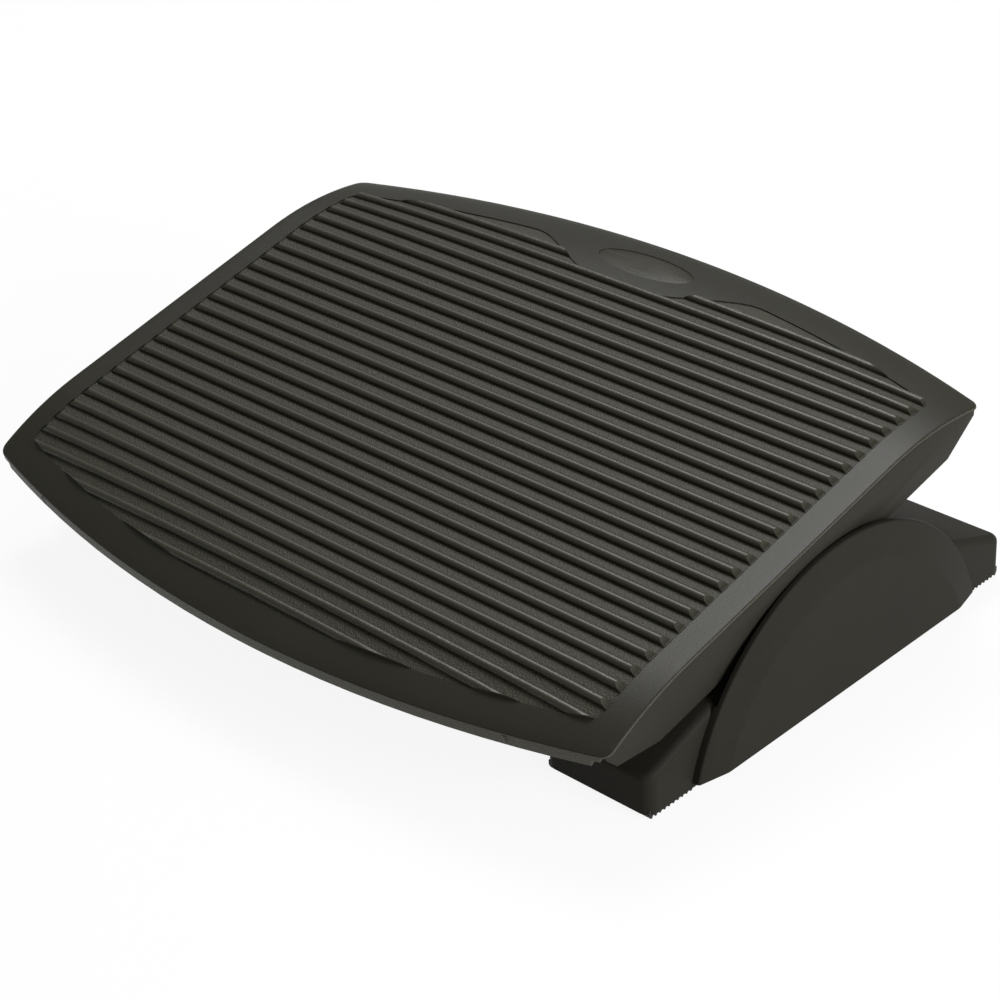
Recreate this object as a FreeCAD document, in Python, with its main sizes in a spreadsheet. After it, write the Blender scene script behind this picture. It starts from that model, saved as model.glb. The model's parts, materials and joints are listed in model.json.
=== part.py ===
import FreeCAD, Part

# A tilting footrest for use under a desk, in millimetres, +Z up, +X to the right, +Y to the rear.
# A ribbed tread deck hangs between two side rails. Each rail turns on a pivot pin held between the
# cheek of a floor bearer and a half-round side cover. The floor is Z = 0, and the row's origin
# lies under the middle of the whole object.

import math
import os

import Sketcher
from FreeCAD import Placement, Rotation, Vector

doc = FreeCAD.newDocument("Footrest")
sheet = doc.addObject("Spreadsheet::Sheet", "Sizes")
size_rows = []


def size(alias, amount, meaning):
    """Set down one driving dimension, with its meaning beside it."""
    row = len(size_rows) + 1
    sheet.set("A%d" % row, str(amount))
    sheet.setAlias("A%d" % row, alias)
    sheet.set("B%d" % row, meaning)
    size_rows.append(alias)


# Tread deck
size("deck_half_width", 226, "centre line to the deck's side edge")
size("front_edge", 173, "deck centre to the middle of the front edge")
size("rear_edge", 181, "deck centre to the middle of the rear edge")
size("edge_arc_radius", 820, "radius of the curved front and rear edges in plan")
size("deck_corner_radius", 7, "plan radius of the four corners")
size("roll_radius", 176, "radius by which the front and rear bands roll down")
size("front_roll_width", 58, "width of the band that rolls down in front")
size("rear_roll_width", 69, "width of the band that rolls down at the rear")
size("deck_wall", 3.5, "thickness of the moulded deck")
size("rim_depth", 7, "depth of the front and rear rims below the surface")
size("rim_wall", 3, "thickness of the front and rear rims")
size("lip_radius", 1, "rounding of the deck's outer edge")
size("side_edge", 1.4, "height of the deck's thinned side edges")
size("rebate_width", 4.6, "width of the thinned strip along the deck's sides")
size("rim_end_inset", 9.5, "gap between the rims' ends and the deck's sides")

# Ribbed tread recess
size("side_margin", 16, "plain strip at each side of the ribs")
size("front_margin", 16.5, "plain band in front of the ribs")
size("rear_margin", 22.5, "plain band behind the ribs")
size("recess_depth", 0.7, "depth of the tread's floor below the deck surface")
size("recess_corner_radius", 8, "plan radius of the recess corners")
size("bay_half_mouth", 76, "half the mouth of the plain bay round the badge")
size("bay_half_floor", 30, "half the straight front of the bay")
size("bay_depth", 26, "how far the bay reaches forward from the rear band")
size("bay_corner_radius", 34, "rounding of the bay's flowing outline")
size("rib_pitch", 10.83, "distance between tread ribs")
size("rib_half_width", 2.7, "radius of a rib's round top")
size("rib_rise", 3, "height of a rib above the floor of the recess")
size("rib_end_run", 4, "length of the slant at a rib's ends")
size("rib_end_gap", 0.5, "gap between a rib's slanting end and the recess's side")
size("front_rib_count", 14, "ribs in front of the middle one")
size("rear_rib_count", 13, "ribs behind the middle one")

# Blank oval badge
size("badge_half_length", 33, "half length of the oval")
size("badge_half_width", 12, "half width of the oval")
size("badge_setback", 154.5, "deck centre to the oval's centre")
size("badge_seat_depth", 1.6, "depth of the oval seat below the surface")
size("badge_sunk", 0.3, "how far the badge lies below the surface")
size("badge_clearance", 0.15, "gap all round the badge in its seat")

# Stiffening ribs and screw bosses under the deck
size("stiffener_wall", 2.2, "thickness of the stiffening ribs")
size("stiffener_bottom", 16, "lower edge of the stiffening ribs below the deck plane")
size("stiffener_pitch", 43, "distance between the stiffening ribs that run fore and aft")
size("stiffener_rim_gap", 18, "gap between those ribs' ends and the deck's edge")
size("crosswise_pitch", 43, "distance between the stiffening ribs that run across")
size("stiffener_rail_gap", 4, "gap between the crosswise ribs' ends and the rail flange")
size("boss_radius", 5, "outer radius of a rail screw's boss")
size("rail_screw_front", -78, "front rail screw's place from the deck centre")
size("rail_screw_middle", -20, "middle rail screw's place from the deck centre")
size("rail_screw_rear", 78, "rear rail screw's place from the deck centre")

# Side rails
size("rail_inset", 0.8, "rail's upper edge inboard of the deck's edge")
size("rail_groove", 1.6, "shadow groove between deck and rail")
size("rail_bottom", 37.4, "rail's lower edge below the deck plane")
size("rail_edge_radius", 1, "rounding of the rail's upper edge")
size("rail_clearance", 1, "gap between the rail and the deck's underside")
size("rebate_clearance", 0.4, "gap between the rail and the thinned strip's inner wall")
size("rail_lean", 7, "how far the rail's face leans in from top to bottom")
size("rail_wall", 3, "thickness of the rail's face")
size("flange_top", 12.5, "upper side of the rail's inner flange below the deck plane")
size("flange_thickness", 3, "thickness of that flange")
size("flange_reach", 33, "deck's side edge to the flange's inner edge")
size("rail_front_end", 140, "front end of the rail from the deck centre")
size("rail_front_end_level", 14, "lower corner of the front end below the deck plane")
size("rail_front_tip", 132.5, "where the front end's slant meets the lower edge")
size("rail_front_tip_level", 25.5, "level of that corner below the deck plane")
size("rail_front_bend", 102, "where the lower edge bends up in front")
size("rail_rear_tip", 149.5, "rear end of the rail from the deck centre")
size("rail_rear_tip_level", 22.5, "lower corner of the rear end below the deck plane")
size("rail_rear_bend", 128.5, "where the lower edge bends up at the rear")
size("rail_web_pitch", 37, "distance between the small webs inside the rail")

# Pivot
size("pivot_setback", 32, "pivot axis behind the deck centre, along the deck")
size("pivot_drop", 30.3, "pivot axis below the deck plane")
size("pivot_height", 75, "pivot axis above the floor")
size("rest_tilt", 13, "angle of the deck at rest, rear edge up")
size("pin_radius", 4, "radius of the pivot pin")
size("pin_head_radius", 7.5, "radius of the pin's collar")
size("pin_head_thickness", 3, "thickness of the pin's collar")
size("pin_stub", 4, "length of the pin's end inside the side cover")
size("pin_tail", 8.5, "length of the pin's thread beyond the cheek")
size("running_clearance", 0.05, "radial clearance of the turning pin")
size("running_gap", 0.4, "end gap between parts that turn against each other")
size("bush_wall", 2, "wall of the pivot bush")
size("bush_flange_radius", 8.5, "radius of the bush's flange")
size("bush_flange_thickness", 1, "thickness of the bush's flange")
size("lug_radius", 12, "radius of the rail's pivot lug")
size("lug_length", 12, "length of the lug along the pin")
size("lug_inset", 3.5, "lug's outer face inboard of the bearer's outer face")
size("spot_face_radius", 10.5, "radius of the spot face round the pin's collar")
size("friction_washer_thickness", 1.2, "thickness of the friction washer")
size("friction_washer_radius", 9, "radius of the friction washer")
size("spring_washer_thickness", 1.6, "free height of the split spring washer")
size("spring_washer_radius", 7, "radius of the split spring washer")
size("nut_thickness", 6.5, "height of the lock nut")
size("nut_across_flats", 13, "width of the lock nut across its flats")

# Floor bearers
size("bearer_inset", 3.5, "bearer's outer face inboard of the deck's edge")
size("bearer_width", 67.5, "width of a bearer")
size("bearer_half_length", 142.3, "half the length of a bearer")
size("bearer_crest", 41, "top of the bearer above the floor")
size("bearer_crest_half_length", 95.5, "half the length of the level top")
size("nose_height", 24, "height of the bearer's upright ends")
size("bearer_wall", 3, "wall of the moulded bearer")
size("bearer_end_wall", 4, "wall at the bearer's ends")
size("bearer_corner_radius", 6.5, "rounding of the upright corners")
size("crest_radius", 14, "rounding between a slope and the level top")
size("bearer_edge_radius", 4.5, "rounding along the upper edges")
size("floor_thickness", 5.5, "thickness of the floor that holds a foot")
size("floor_length", 37, "length of that floor from the bearer's end")
size("web_thickness", 2.2, "thickness of the webs inside a bearer")
size("web_pitch", 41, "distance between the crosswise webs")
size("web_lift", 1.5, "lower edge of the webs above the bearer's lower edge")
size("cheek_thickness", 6.5, "thickness of the cheek that carries the pin")
size("cheek_radius", 12, "radius of the cheek round the pin")
size("cheek_half_foot", 30, "half the length of the cheek's foot")

# Cross tubes
size("tube_radius", 9, "outer radius of a cross tube")
size("tube_wall", 1.5, "wall of a cross tube")
size("tube_setout", 61.5, "cross tube's distance from the bearer's middle")
size("tube_height", 21, "cross tube's axis above the floor")
size("socket_depth", 35, "depth of the socket in the bearer")
size("socket_wall", 3, "wall of the socket")
size("tube_fit", 0.1, "radial clearance of the tube in its socket")
size("tube_screw_inset", 17, "screw's distance from the bearer's inner face")

# Half-round side covers
size("cover_radius", 116, "radius of the cover's rim")
size("cover_centre_drop", 26, "centre of the rim below the floor")
size("cover_bottom", 6, "cover's straight lower edge above the floor")
size("cover_proud", 4.3, "rim's front beyond the bearer's face")
size("cover_dome", 4.2, "flat face beyond the rim's front")
size("cover_bevel_width", 17, "width of the bevel between rim and flat face")
size("cover_rim_thickness", 2.8, "thickness of the free rim above the bearer")
size("cover_wall", 2.8, "wall of the cover's face")
size("cover_edge_radius", 1.5, "rounding of the cover's rim")
size("cover_blend_radius", 12, "rounding between bevel and flat face")
size("cover_screw_setout", 78, "cover screw's distance from the middle")
size("cover_screw_height", 22, "cover screw's height above the floor")
size("cover_boss_radius", 5, "outer radius of the cover's bosses")
size("cover_eye_radius", 6.6, "outer radius of the eye that takes the pin's end")

# Screws
size("screw_radius", 1.8, "radius of a screw's shank")
size("screw_head_radius", 3.6, "radius of a screw's head")
size("screw_head_height", 2.4, "height of a screw's head")
size("screw_fit", 0.05, "radial clearance of a screw in its pilot hole")
size("screw_clearance", 0.4, "radial clearance of a screw in its through hole")
size("screw_bite", 6, "length of a screw's shank in its pilot hole")
size("screw_end_gap", 0.5, "pilot hole's depth beyond the screw")

# Rubber feet
size("foot_lift", 2.5, "bearer's lower edge above the floor")
size("foot_pad_depth", 2.5, "depth of the foot's seat in the bearer")
size("foot_margin", 1.2, "bearer left standing round the foot's seat")
size("foot_clearance", 0.2, "gap all round the foot in its seat")
size("tooth_pitch", 3.2, "distance between the foot's teeth")
size("tooth_height", 2.2, "height of a tooth")
size("tooth_tip", 0.8, "width of a tooth's flat tip")
size("tooth_count", 10, "teeth on a foot")

# Place of the object in its own frame
size("base_setback", 30.4, "middle of the bearers behind the origin")

doc.recompute()


def number(expression):
    """The value of an expression in the driving dimensions."""
    return float(sheet.evalExpression(expression.replace("Sizes.", "")))


def plus(*terms):
    return "(" + " + ".join(terms) + ")"


def minus(first, *others):
    return "(" + " - ".join((first,) + others) + ")"


def negative(term):
    return "(-1 * %s)" % term


def bind(feature, **expressions):
    """Bind the named properties of a feature to expressions."""
    for name, expression in expressions.items():
        feature.setExpression(name.replace("_of_", "."), expression)


# Places along X, from the outside inwards
DECK_SIDE = "Sizes.deck_half_width"
BEARER_FACE = minus(DECK_SIDE, "Sizes.bearer_inset")
BEARER_INNER = minus(BEARER_FACE, "Sizes.bearer_width")
COVER_RIM = plus(BEARER_FACE, "Sizes.cover_proud")
COVER_FACE = plus(COVER_RIM, "Sizes.cover_dome")
COVER_BACK = minus(COVER_RIM, "Sizes.cover_rim_thickness")
RAIL_TOP = minus(DECK_SIDE, "Sizes.rail_inset")
LUG_OUTER = minus(BEARER_FACE, "Sizes.lug_inset")
LUG_INNER = minus(LUG_OUTER, "Sizes.lug_length")
WASHER_OUTER = minus(LUG_INNER, "Sizes.bush_flange_thickness", "Sizes.running_gap")
CHEEK_OUTER = minus(WASHER_OUTER, "Sizes.friction_washer_thickness")
CHEEK_INNER = minus(CHEEK_OUTER, "Sizes.cheek_thickness")
NUT_OUTER = minus(CHEEK_INNER, "Sizes.spring_washer_thickness")
HEAD_INNER = plus(LUG_OUTER, "Sizes.running_gap")
HEAD_OUTER = plus(HEAD_INNER, "Sizes.pin_head_thickness")
SCREW_LINE = minus(DECK_SIDE, "Sizes.flange_reach", negative("Sizes.boss_radius"), "-3")

# Levels of the deck, below its plane, as negative heights
PLATE_UNDERSIDE = negative("Sizes.deck_wall")
RAIL_UPPER_EDGE = negative(plus("Sizes.side_edge", "Sizes.rail_groove"))
FLANGE_TOP = negative("Sizes.flange_top")
FLANGE_UNDERSIDE = negative(plus("Sizes.flange_top", "Sizes.flange_thickness"))
PIVOT_LEVEL = negative("Sizes.pivot_drop")

# Through cuts and tool bodies reach this far past what they cut
OVERSHOOT = 20.0
TOOL_DEPTH = 60.0


def origin_plane(body, role):
    """One of a body's own origin planes, found by its role."""
    return [item for item in body.Origin.OriginFeatures if item.Role == role][0]


def body_named(label):
    body = doc.addObject("PartDesign::Body", label)
    body.Label = label
    return body


def arc_middle(first, last, radius, side):
    """A point halfway along the arc between two points; side is +1 for left of the chord."""
    chord = last - first
    half = chord.Length / 2
    sagitta = radius - math.sqrt(max(radius**2 - half**2, 0))
    left = Vector(-chord.y, chord.x, 0).normalize()
    return (first + last) * 0.5 + left * (side * sagitta)


def draw_loop(sketch, corners):
    """Draw a closed outline whose corners, and the radius of each arc, follow the dimensions.

    A corner is (u, v), or (u, v, radius, side) where the edge that leaves it is an arc.
    """
    points = [Vector(number(corner[0]), number(corner[1]), 0) for corner in corners]
    first_edge = sketch.GeometryCount
    starts = []
    ends = []
    for index, corner in enumerate(corners):
        here = points[index]
        there = points[(index + 1) % len(points)]
        if len(corner) == 2:
            sketch.addGeometry(Part.LineSegment(here, there))
            starts.append(1)
            ends.append(2)
            continue
        middle = arc_middle(here, there, number(corner[2]), corner[3])
        sketch.addGeometry(Part.Arc(here, middle, there))
        clockwise = corner[3] > 0
        starts.append(2 if clockwise else 1)
        ends.append(1 if clockwise else 2)
    count = len(corners)
    for index in range(count):
        this_edge = first_edge + index
        next_edge = first_edge + (index + 1) % count
        next_start = starts[(index + 1) % count]
        joint = Sketcher.Constraint("Coincident", this_edge, ends[index], next_edge, next_start)
        sketch.addConstraint(joint)
    for index, corner in enumerate(corners):
        edge = first_edge + index
        for kind, expression in (("DistanceX", corner[0]), ("DistanceY", corner[1])):
            limit = Sketcher.Constraint(kind, -1, 1, edge, starts[index], number(expression))
            place = sketch.addConstraint(limit)
            sketch.setExpression("Constraints[%d]" % place, expression)
        if len(corner) == 4:
            place = sketch.addConstraint(Sketcher.Constraint("Radius", edge, number(corner[2])))
            sketch.setExpression("Constraints[%d]" % place, corner[2])


def draw_circle(sketch, across, up, radius):
    """Draw a circle whose centre and radius follow the dimensions."""
    centre = Vector(number(across), number(up), 0)
    edge = sketch.addGeometry(Part.Circle(centre, Vector(0, 0, 1), number(radius)))
    for kind, expression in (("DistanceX", across), ("DistanceY", up)):
        place = sketch.addConstraint(Sketcher.Constraint(kind, -1, 1, edge, 3, number(expression)))
        sketch.setExpression("Constraints[%d]" % place, expression)
    place = sketch.addConstraint(Sketcher.Constraint("Radius", edge, number(radius)))
    sketch.setExpression("Constraints[%d]" % place, radius)


def sketch_on(body, name, role, level="0", across="0", up="0"):
    """An empty sketch on one of the body's planes, moved along its normal and in its plane."""
    sketch = body.newObject("Sketcher::SketchObject", name)
    sketch.AttachmentSupport = (origin_plane(body, role), [""])
    sketch.MapMode = "FlatFace"
    bind(sketch, AttachmentOffset_of_Base_of_z=level)
    bind(sketch, AttachmentOffset_of_Base_of_x=across, AttachmentOffset_of_Base_of_y=up)
    return sketch


def extrude(body, kind, sketch, length, toward=1):
    """Pad or pocket a sketch by a bound length, along its normal or against it."""
    feature = body.newObject("PartDesign::" + kind, sketch.Label + "_" + kind.lower())
    feature.Profile = sketch
    bind(feature, Length=length)
    along_normal = toward > 0
    feature.Reversed = along_normal if kind == "Pocket" else not along_normal
    return feature


def cut_checked(body, feature):
    """Recompute, and stop if a cut took nothing away from the body."""
    doc.recompute()
    if feature.Shape.isNull() or feature.Shape.Volume > feature.BaseFeature.Shape.Volume - 0.01:
        raise RuntimeError(feature.Label + " cuts nothing")
    return feature


def turn(body, kind, sketch, axis, angle=360):
    """Revolve or groove a sketch about one of its axes."""
    feature = body.newObject("PartDesign::" + kind, sketch.Label + "_" + kind.lower())
    feature.Profile = sketch
    feature.ReferenceAxis = (sketch, [axis])
    feature.Angle = angle
    return feature


def edge_names(shape, wanted):
    """The names of the edges for which the given test holds."""
    return ["Edge%d" % (i + 1) for i, edge in enumerate(shape.Edges) if wanted(edge)]


def round_edges(body, base, radius, wanted):
    """Round the body's edges for which the given test holds."""
    doc.recompute()
    feature = body.newObject("PartDesign::Fillet", "rounding")
    feature.Base = (base, edge_names(base.Shape, wanted))
    bind(feature, Radius=radius)
    return feature


def span(edge):
    """The size of an edge's box along X, Y and Z."""
    box = edge.BoundBox
    return box.XLength, box.YLength, box.ZLength


def upright(edge):
    across, along, height = span(edge)
    return height > 1 and across < 0.01 and along < 0.01


def combine(kind, label, base, tool):
    """One piece with another cut from it or joined to it."""
    result = doc.addObject("Part::" + kind, label)
    result.Base = base
    result.Tool = tool
    return result


def fuse(label, *pieces):
    result = doc.addObject("Part::MultiFuse", label)
    result.Shapes = list(pieces)
    result.Refine = True
    return result


def common(label, *pieces):
    result = doc.addObject("Part::MultiCommon", label)
    result.Shapes = list(pieces)
    return result


def cylinder(label, radius, height, axis, place):
    """A bound cylinder along X, Y or Z that starts at a place given by three expressions."""
    rod = doc.addObject("Part::Cylinder", label)
    bind(rod, Radius=radius, Height=height)
    turns = {"X": Rotation(Vector(0, 1, 0), 90), "Y": Rotation(Vector(1, 0, 0), -90), "Z": Rotation()}
    rod.Placement = Placement(Vector(), turns[axis])
    bind(rod, Placement_of_Base_of_x=place[0])
    bind(rod, Placement_of_Base_of_y=place[1], Placement_of_Base_of_z=place[2])
    return rod


def block(label, low, high):
    """A bound box between two corners, each given by three expressions."""
    box = doc.addObject("Part::Box", label)
    bind(box, Length=minus(high[0], low[0]), Width=minus(high[1], low[1]))
    bind(box, Height=minus(high[2], low[2]))
    bind(box, Placement_of_Base_of_x=low[0])
    bind(box, Placement_of_Base_of_y=low[1], Placement_of_Base_of_z=low[2])
    return box


def mirrored(label, right):
    """The left-hand twin of a right-hand piece."""
    twin = doc.addObject("Part::Mirroring", label)
    twin.Source = right
    twin.Normal = Vector(1, 0, 0)
    return twin


parts = {}


def keep(node, piece):
    """Name a finished piece after its node, and write it out at the end."""
    piece.Label = node
    parts[node] = piece
    return piece


def keep_pair(name, right):
    """Keep a right-hand piece and its mirrored twin."""
    keep(name + "_right", right)
    keep(name + "_left", mirrored(name + "_left", right))


def set_tilted(piece):
    """Stand a deck piece on the pivot, tilted as it rests."""
    across = "Sizes.pivot_setback * cos(Sizes.rest_tilt) + Sizes.pivot_drop * sin(Sizes.rest_tilt)"
    raised = "Sizes.pivot_setback * sin(Sizes.rest_tilt) - Sizes.pivot_drop * cos(Sizes.rest_tilt)"
    piece.Placement = Placement(Vector(), Rotation(Vector(1, 0, 0), number("Sizes.rest_tilt")))
    bind(piece, Placement_of_Rotation_of_Angle="Sizes.rest_tilt")
    bind(piece, Placement_of_Base_of_y="Sizes.base_setback - (%s)" % across)
    bind(piece, Placement_of_Base_of_z="Sizes.pivot_height - (%s)" % raised)
    return piece


def set_on_base(piece):
    """Move a piece of the base back to its place behind the origin."""
    bind(piece, Placement_of_Base_of_y="Sizes.base_setback")
    return piece


def arc_edge(edge, radius, across):
    """Where a plan arc with its middle at the given edge lies, at a distance from the centre line."""
    return "(%s - (%s - sqrt((%s)^2 - (%s)^2)))" % (edge, radius, radius, across)


# Deck surface

def roll_sketch(body, name, side, lift):
    """The space above a rolled band, in the plane X = 0, measured from the edge arc's centre.

    The band leaves the deck plane along an arc and rolls down with the same radius all along it,
    so turning this section about the arc's centre gives the whole band.
    """
    edge = "Sizes.front_edge" if side < 0 else "Sizes.rear_edge"
    width = "Sizes.front_roll_width" if side < 0 else "Sizes.rear_roll_width"
    centre = minus("Sizes.edge_arc_radius", edge)
    sketch = sketch_on(body, name, "YZ_Plane", across=centre if side < 0 else negative(centre))
    reach = "(%s + %s)" % (width, OVERSHOOT)
    radius = plus("Sizes.roll_radius", lift)
    drop = "(sqrt(%s^2 - %s^2) - Sizes.roll_radius)" % (radius, reach)
    near = "(%d * (Sizes.edge_arc_radius - %s))" % (side, width)
    far = "(%d * (Sizes.edge_arc_radius + %s))" % (side, OVERSHOOT)
    above = "(%s + %s)" % (lift, OVERSHOOT)
    draw_loop(sketch, [(near, lift, radius, side), (far, drop), (far, above), (near, above)])
    return sketch


def deck_form(name, lift):
    """A thick block whose top follows the deck surface, raised by lift."""
    body = body_named(name)
    plan = sketch_on(body, name + "_plan", "XY_Plane", level="-%s" % TOOL_DEPTH)
    side = plus(DECK_SIDE, str(OVERSHOOT))
    front = negative(plus("Sizes.front_edge", str(OVERSHOOT)))
    rear = plus("Sizes.rear_edge", str(OVERSHOOT))
    draw_loop(plan, [(negative(side), front), (side, front), (side, rear), (negative(side), rear)])
    extrude(body, "Pad", plan, plus(str(TOOL_DEPTH), lift))
    doc.recompute()
    for end, side_sign in (("front", -1), ("rear", 1)):
        section = roll_sketch(body, name + "_" + end, side_sign, lift)
        cut_checked(body, turn(body, "Groove", section, "V_Axis"))
    return body


def deck_outline(name, inset, bottom, top):
    """A prism of the deck's plan, drawn in by inset at the front and rear edges only."""
    body = body_named(name)
    sketch = sketch_on(body, name + "_plan", "XY_Plane", level=bottom)
    radius = minus("Sizes.edge_arc_radius", inset)
    front = negative(arc_edge(minus("Sizes.front_edge", inset), radius, DECK_SIDE))
    rear = arc_edge(minus("Sizes.rear_edge", inset), radius, DECK_SIDE)
    left = negative(DECK_SIDE)
    outline = [(left, front, radius, -1), (DECK_SIDE, front), (DECK_SIDE, rear, radius, -1), (left, rear)]
    draw_loop(sketch, outline)
    return body, extrude(body, "Pad", sketch, minus(top, bottom))


def recess_prism():
    """The ribbed recess in plan: two edge arcs, and a bay that keeps the badge's ground plain."""
    body = body_named("recess_prism")
    sketch = sketch_on(body, "recess_plan", "XY_Plane", level="-%s" % OVERSHOOT)
    side = minus(DECK_SIDE, "Sizes.side_margin")
    front_radius = minus("Sizes.edge_arc_radius", "Sizes.front_margin")
    rear_radius = minus("Sizes.edge_arc_radius", "Sizes.rear_margin")
    front_middle = minus("Sizes.front_edge", "Sizes.front_margin")
    rear_middle = minus("Sizes.rear_edge", "Sizes.rear_margin")
    front = negative(arc_edge(front_middle, front_radius, side))
    rear = arc_edge(rear_middle, rear_radius, side)
    mouth = "Sizes.bay_half_mouth"
    mouth_level = arc_edge(rear_middle, rear_radius, mouth)
    floor = "Sizes.bay_half_floor"
    floor_level = minus(rear_middle, "Sizes.bay_depth")
    draw_loop(
        sketch,
        [
            (negative(side), front, front_radius, -1),
            (side, front),
            (side, rear, rear_radius, -1),
            (mouth, mouth_level),
            (floor, floor_level),
            (negative(floor), floor_level),
            (negative(mouth), mouth_level, rear_radius, -1),
            (negative(side), rear),
        ],
    )
    pad = extrude(body, "Pad", sketch, str(2 * OVERSHOOT))
    half = number(side)
    corners = round_edges(
        body,
        pad,
        "Sizes.recess_corner_radius",
        lambda edge: upright(edge) and abs(edge.CenterOfMass.x) > half - 1,
    )
    round_edges(
        body,
        corners,
        "Sizes.bay_corner_radius",
        lambda edge: upright(edge) and abs(edge.CenterOfMass.x) < half - 50,
    )
    return body


def roll_drop(x, y):
    """How far the deck surface lies below its plane at a point of the plan."""
    arc = number("Sizes.edge_arc_radius")
    edge = number("Sizes.front_edge" if y < 0 else "Sizes.rear_edge")
    width = number("Sizes.front_roll_width" if y < 0 else "Sizes.rear_roll_width")
    roll = number("Sizes.roll_radius")
    beyond = math.hypot(x, abs(y) + arc - edge) - (arc - width)
    return roll - math.sqrt(roll**2 - beyond**2) if beyond > 0 else 0.0


def rib_section(x, y):
    """A tread rib's section: upright flanks under a half-round top, let into the rolled surface."""
    half_width = number("Sizes.rib_half_width")
    floor = -roll_drop(x, y) - number("Sizes.recess_depth")
    crown = floor + number("Sizes.rib_rise")
    root = floor - half_width / 3
    shoulder = crown - half_width
    left, right = y - half_width, y + half_width
    foot = Vector(x, left, root)
    spring = Vector(x, left, shoulder)
    landing = Vector(x, right, shoulder)
    end = Vector(x, right, root)
    edges = [
        Part.LineSegment(foot, spring).toShape(),
        Part.Arc(spring, Vector(x, y, crown), landing).toShape(),
        Part.LineSegment(landing, end).toShape(),
        Part.LineSegment(end, foot).toShape(),
    ]
    return Part.Wire(edges)


def tread_rib(y):
    """One tread rib, straight in plan, that bends down in short spans with the rolled surface."""
    reach = number(DECK_SIDE) - number("Sizes.side_margin") / 2
    if roll_drop(reach, y) < 0.01:
        return Part.Face(rib_section(-reach, y)).extrude(Vector(2 * reach, 0, 0))
    spans = 6
    stations = [reach * step / float(spans) for step in range(-spans, spans + 1)]
    faces = [Part.Face(rib_section(stations[0], y)), Part.Face(rib_section(stations[-1], y))]
    for here, there in zip(stations, stations[1:]):
        bend = Vector(there - here, 0, roll_drop(here, y) - roll_drop(there, y))
        faces += [edge.extrude(bend) for edge in rib_section(here, y).Edges]
    skin = Part.makeShell(faces)
    skin.sewShape()
    return Part.makeSolid(skin)


def between_rib_ends(y):
    """The space between the slanting ends of the rib at y, a little deeper than the rib is wide."""
    gap = number("Sizes.rib_end_gap")
    side = number(DECK_SIDE) - number("Sizes.side_margin") - gap
    floor = -roll_drop(side, y) - number("Sizes.recess_depth")
    slope = number("Sizes.rib_end_run") / number("Sizes.rib_rise")
    low, high = floor - OVERSHOOT, floor + OVERSHOOT
    outer, inner = side + gap / 2, side - OVERSHOOT * slope
    turn_level = floor - gap / 2 / slope
    right = [(outer, low), (outer, turn_level), (inner, high)]
    left = [(-across, up) for across, up in reversed(right)]
    depth = number("Sizes.rib_half_width") + 1
    points = [Vector(across, y - depth, up) for across, up in right + left]
    return Part.Face(Part.makePolygon(points + points[:1])).extrude(Vector(0, 2 * depth, 0))


def tread_ribs():
    """All the tread ribs, side by side at one pitch and counted from the middle one."""
    first = -int(number("Sizes.front_rib_count"))
    last = int(number("Sizes.rear_rib_count"))
    pitch = number("Sizes.rib_pitch")
    ribs = doc.addObject("Part::Feature", "tread_ribs")
    places = [step * pitch for step in range(first, last + 1)]
    ribs.Shape = Part.Compound([tread_rib(y).common(between_rib_ends(y)) for y in places])
    return ribs


def oval_prism(name, clearance):
    """An upright prism of the badge's oval, drawn in by a clearance."""
    oval = doc.addObject("Part::Ellipse", name + "_outline")
    bind(oval, MajorRadius=minus("Sizes.badge_half_length", clearance))
    bind(oval, MinorRadius=minus("Sizes.badge_half_width", clearance))
    bind(oval, Placement_of_Base_of_y="Sizes.badge_setback")
    oval.Placement.Base.z = -OVERSHOOT
    prism = doc.addObject("Part::Extrusion", name)
    prism.Base = oval
    prism.DirMode = "Custom"
    prism.Dir = Vector(0, 0, 1)
    prism.LengthFwd = 2 * OVERSHOOT
    prism.Solid = True
    return prism


def deck_stiffeners(surface):
    """The lattice of ribs that stiffens the deck from below, kept under the seat's surface."""
    half = "(Sizes.stiffener_wall / 2)"
    low = negative("Sizes.stiffener_bottom")
    front = negative(minus("Sizes.front_edge", "Sizes.stiffener_rim_gap"))
    rear = minus("Sizes.rear_edge", "Sizes.stiffener_rim_gap")
    end = minus(DECK_SIDE, "Sizes.flange_reach", "Sizes.stiffener_rail_gap")
    walls = []
    for step in range(-4, 5):
        middle = "(%d * Sizes.stiffener_pitch)" % step
        corners = (minus(middle, half), front, low), (plus(middle, half), rear, "0")
        walls.append(block("stiffener_fore_aft", *corners))
    for step in range(-3, 4):
        middle = "(%d * Sizes.crosswise_pitch)" % step
        corners = (negative(end), minus(middle, half), low), (end, plus(middle, half), "0")
        walls.append(block("stiffener_across", *corners))
    return common("stiffeners_under_deck", fuse("stiffener_lattice", *walls), surface)


def rail_screw_places():
    names = ("Sizes.rail_screw_front", "Sizes.rail_screw_middle", "Sizes.rail_screw_rear")
    return [(side, name) for side in (1, -1) for name in names]


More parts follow.
